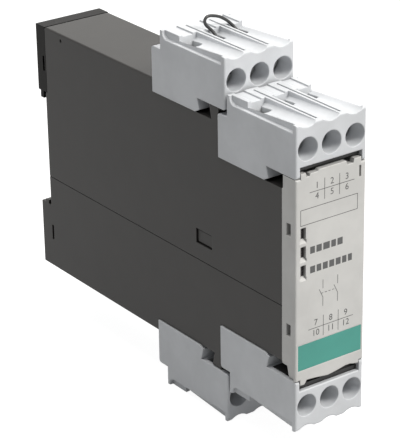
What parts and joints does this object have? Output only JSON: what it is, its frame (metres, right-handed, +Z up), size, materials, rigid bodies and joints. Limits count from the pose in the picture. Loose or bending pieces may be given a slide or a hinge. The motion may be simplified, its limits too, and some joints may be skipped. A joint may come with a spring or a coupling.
{
  "type": "safety relay",
  "caption": "Narrow safety relay in a dark plastic rail housing with light front cover, pull-off screw terminal blocks above and below, status windows and a sliding rail hook.",
  "frame": {"origin": "centre of the rail seat: on the plane where the housing meets the rail, midway between the rail's edges and across the width", "axes": "+Z up, the front cover faces -Y, +X to the right seen from the front"},
  "size_m": [0.0226, 0.1204, 0.1078],
  "materials": {
    "body_shell": "fine grained dark grey moulding",
    "hook_shell": "fine grained dark grey moulding",
    "lever": "plain dark moulding",
    "cover": "fine grained light grey moulding",
    "block": "fine grained light grey moulding",
    "band": "satin coloured inlay",
    "lens": "dark translucent plastic",
    "steel": "zinc plated",
    "contact": "tin plated copper alloy",
    "board": "solder resist",
    "relay_case": "moulded case",
    "can": "plain can",
    "potting": "potted block",
    "wire": "extruded insulation"
  },
  "bodies": {
    "housing": {"upper_shell": "body_shell", "lower_shell": "body_shell", "front_cover": "cover", "front_band": "band", "main_board": "board", "relay_a": "relay_case", "relay_b": "relay_case", "supply_capacitor": "can", "transformer": "potting", "rail_hook_spring": "steel", "status_lens_1": "lens", "status_lens_2": "lens", "status_lens_3": "lens", "upper_front_pins": "contact", "upper_rear_pins": "contact", "lower_front_pins": "contact", "lower_rear_pins": "contact"},
    "rail_hook": {"rail_hook": "hook_shell"},
    "upper_front_block": {"upper_front_terminal_housing": "block", "upper_front_contact_bars": "contact", "upper_front_release_lever": "lever"},
    "upper_front_screw_1": {"upper_front_terminal_screw_1": "steel"},
    "upper_front_clamp_1": {"upper_front_terminal_clamp_1": "steel"},
    "upper_front_screw_2": {"upper_front_terminal_screw_2": "steel"},
    "upper_front_clamp_2": {"upper_front_terminal_clamp_2": "steel"},
    "upper_front_screw_3": {"upper_front_terminal_screw_3": "steel"},
    "upper_front_clamp_3": {"upper_front_terminal_clamp_3": "steel"},
    "upper_rear_block": {"upper_rear_terminal_housing": "block", "upper_rear_contact_bars": "contact", "upper_rear_release_lever": "lever", "wire_jumper": "wire"},
    "upper_rear_screw_1": {"upper_rear_terminal_screw_1": "steel"},
    "upper_rear_clamp_1": {"upper_rear_terminal_clamp_1": "steel"},
    "upper_rear_screw_2": {"upper_rear_terminal_screw_2": "steel"},
    "upper_rear_clamp_2": {"upper_rear_terminal_clamp_2": "steel"},
    "upper_rear_screw_3": {"upper_rear_terminal_screw_3": "steel"},
    "upper_rear_clamp_3": {"upper_rear_terminal_clamp_3": "steel"},
    "lower_front_block": {"lower_front_terminal_housing": "block", "lower_front_contact_bars": "contact", "lower_front_release_lever": "lever"},
    "lower_front_screw_1": {"lower_front_terminal_screw_1": "steel"},
    "lower_front_clamp_1": {"lower_front_terminal_clamp_1": "steel"},
    "lower_front_screw_2": {"lower_front_terminal_screw_2": "steel"},
    "lower_front_clamp_2": {"lower_front_terminal_clamp_2": "steel"},
    "lower_front_screw_3": {"lower_front_terminal_screw_3": "steel"},
    "lower_front_clamp_3": {"lower_front_terminal_clamp_3": "steel"},
    "lower_rear_block": {"lower_rear_terminal_housing": "block", "lower_rear_contact_bars": "contact", "lower_rear_release_lever": "lever"},
    "lower_rear_screw_1": {"lower_rear_terminal_screw_1": "steel"},
    "lower_rear_clamp_1": {"lower_rear_terminal_clamp_1": "steel"},
    "lower_rear_screw_2": {"lower_rear_terminal_screw_2": "steel"},
    "lower_rear_clamp_2": {"lower_rear_terminal_clamp_2": "steel"},
    "lower_rear_screw_3": {"lower_rear_terminal_screw_3": "steel"},
    "lower_rear_clamp_3": {"lower_rear_terminal_clamp_3": "steel"}
  },
  "joints": [
    {"name": "rail_hook_slide", "type": "slide", "parent": "housing", "child": "rail_hook", "axis": [0, 0, 1], "range_m": [0, 0.0025], "stiffness_N_per_m": 1200, "springref_m": -0.002, "deforming": ["rail_hook_spring"]},
    {"name": "upper_front_pull", "type": "slide", "parent": "housing", "child": "upper_front_block", "axis": [0, -0.866, 0.5], "range_m": [0, 0.012]},
    {"name": "upper_front_screw_1_turn", "type": "hinge", "parent": "upper_front_block", "child": "upper_front_screw_1", "pos_m": [-0.0075, -0.11, 0.0356], "axis": [0, 1, 0], "range_deg": [0, 2160.5]},
    {"name": "upper_front_clamp_1_rise", "type": "slide", "parent": "upper_front_block", "child": "upper_front_clamp_1", "axis": [0, -1, 0], "range_m": [0, 0.003]},
    {"name": "upper_front_screw_2_turn", "type": "hinge", "parent": "upper_front_block", "child": "upper_front_screw_2", "pos_m": [0, -0.11, 0.0356], "axis": [0, 1, 0], "range_deg": [0, 2160.5]},
    {"name": "upper_front_clamp_2_rise", "type": "slide", "parent": "upper_front_block", "child": "upper_front_clamp_2", "axis": [0, -1, 0], "range_m": [0, 0.003]},
    {"name": "upper_front_screw_3_turn", "type": "hinge", "parent": "upper_front_block", "child": "upper_front_screw_3", "pos_m": [0.0075, -0.11, 0.0356], "axis": [0, 1, 0], "range_deg": [0, 2160.5]},
    {"name": "upper_front_clamp_3_rise", "type": "slide", "parent": "upper_front_block", "child": "upper_front_clamp_3", "axis": [0, -1, 0], "range_m": [0, 0.003]},
    {"name": "upper_rear_pull", "type": "slide", "parent": "housing", "child": "upper_rear_block", "axis": [0, 0, 1], "range_m": [0, 0.012]},
    {"name": "upper_rear_screw_1_turn", "type": "hinge", "parent": "upper_rear_block", "child": "upper_rear_screw_1", "pos_m": [-0.0075, -0.081, 0.0452], "axis": [0, 1, 0], "range_deg": [0, 2160.5]},
    {"name": "upper_rear_clamp_1_rise", "type": "slide", "parent": "upper_rear_block", "child": "upper_rear_clamp_1", "axis": [0, -1, 0], "range_m": [0, 0.003]},
    {"name": "upper_rear_screw_2_turn", "type": "hinge", "parent": "upper_rear_block", "child": "upper_rear_screw_2", "pos_m": [0, -0.081, 0.0452], "axis": [0, 1, 0], "range_deg": [0, 2160.5]},
    {"name": "upper_rear_clamp_2_rise", "type": "slide", "parent": "upper_rear_block", "child": "upper_rear_clamp_2", "axis": [0, -1, 0], "range_m": [0, 0.003]},
    {"name": "upper_rear_screw_3_turn", "type": "hinge", "parent": "upper_rear_block", "child": "upper_rear_screw_3", "pos_m": [0.0075, -0.081, 0.0452], "axis": [0, 1, 0], "range_deg": [0, 2160.5]},
    {"name": "upper_rear_clamp_3_rise", "type": "slide", "parent": "upper_rear_block", "child": "upper_rear_clamp_3", "axis": [0, -1, 0], "range_m": [0, 0.003]},
    {"name": "lower_front_pull", "type": "slide", "parent": "housing", "child": "lower_front_block", "axis": [0, -0.866, -0.5], "range_m": [0, 0.012]},
    {"name": "lower_front_screw_1_turn", "type": "hinge", "parent": "lower_front_block", "child": "lower_front_screw_1", "pos_m": [-0.0075, -0.11, -0.0356], "axis": [0, 1, 0], "range_deg": [0, 2160.5]},
    {"name": "lower_front_clamp_1_rise", "type": "slide", "parent": "lower_front_block", "child": "lower_front_clamp_1", "axis": [0, -1, 0], "range_m": [0, 0.003]},
    {"name": "lower_front_screw_2_turn", "type": "hinge", "parent": "lower_front_block", "child": "lower_front_screw_2", "pos_m": [0, -0.11, -0.0356], "axis": [0, 1, 0], "range_deg": [0, 2160.5]},
    {"name": "lower_front_clamp_2_rise", "type": "slide", "parent": "lower_front_block", "child": "lower_front_clamp_2", "axis": [0, -1, 0], "range_m": [0, 0.003]},
    {"name": "lower_front_screw_3_turn", "type": "hinge", "parent": "lower_front_block", "child": "lower_front_screw_3", "pos_m": [0.0075, -0.11, -0.0356], "axis": [0, 1, 0], "range_deg": [0, 2160.5]},
    {"name": "lower_front_clamp_3_rise", "type": "slide", "parent": "lower_front_block", "child": "lower_front_clamp_3", "axis": [0, -1, 0], "range_m": [0, 0.003]},
    {"name": "lower_rear_pull", "type": "slide", "parent": "housing", "child": "lower_rear_block", "axis": [0, 0, -1], "range_m": [0, 0.012]},
    {"name": "lower_rear_screw_1_turn", "type": "hinge", "parent": "lower_rear_block", "child": "lower_rear_screw_1", "pos_m": [-0.0075, -0.081, -0.0452], "axis": [0, 1, 0], "range_deg": [0, 2160.5]},
    {"name": "lower_rear_clamp_1_rise", "type": "slide", "parent": "lower_rear_block", "child": "lower_rear_clamp_1", "axis": [0, -1, 0], "range_m": [0, 0.003]},
    {"name": "lower_rear_screw_2_turn", "type": "hinge", "parent": "lower_rear_block", "child": "lower_rear_screw_2", "pos_m": [0, -0.081, -0.0452], "axis": [0, 1, 0], "range_deg": [0, 2160.5]},
    {"name": "lower_rear_clamp_2_rise", "type": "slide", "parent": "lower_rear_block", "child": "lower_rear_clamp_2", "axis": [0, -1, 0], "range_m": [0, 0.003]},
    {"name": "lower_rear_screw_3_turn", "type": "hinge", "parent": "lower_rear_block", "child": "lower_rear_screw_3", "pos_m": [0.0075, -0.081, -0.0452], "axis": [0, 1, 0], "range_deg": [0, 2160.5]},
    {"name": "lower_rear_clamp_3_rise", "type": "slide", "parent": "lower_rear_block", "child": "lower_rear_clamp_3", "axis": [0, -1, 0], "range_m": [0, 0.003]}
  ],
  "couplings": [
    {"joint": "upper_front_screw_1_turn", "follows": "upper_front_clamp_1_rise", "rad_per_m": 12566},
    {"joint": "upper_front_screw_2_turn", "follows": "upper_front_clamp_2_rise", "rad_per_m": 12566},
    {"joint": "upper_front_screw_3_turn", "follows": "upper_front_clamp_3_rise", "rad_per_m": 12566},
    {"joint": "upper_rear_screw_1_turn", "follows": "upper_rear_clamp_1_rise", "rad_per_m": 12566},
    {"joint": "upper_rear_screw_2_turn", "follows": "upper_rear_clamp_2_rise", "rad_per_m": 12566},
    {"joint": "upper_rear_screw_3_turn", "follows": "upper_rear_clamp_3_rise", "rad_per_m": 12566},
    {"joint": "lower_front_screw_1_turn", "follows": "lower_front_clamp_1_rise", "rad_per_m": 12566},
    {"joint": "lower_front_screw_2_turn", "follows": "lower_front_clamp_2_rise", "rad_per_m": 12566},
    {"joint": "lower_front_screw_3_turn", "follows": "lower_front_clamp_3_rise", "rad_per_m": 12566},
    {"joint": "lower_rear_screw_1_turn", "follows": "lower_rear_clamp_1_rise", "rad_per_m": 12566},
    {"joint": "lower_rear_screw_2_turn", "follows": "lower_rear_clamp_2_rise", "rad_per_m": 12566},
    {"joint": "lower_rear_screw_3_turn", "follows": "lower_rear_clamp_3_rise", "rad_per_m": 12566}
  ]
}
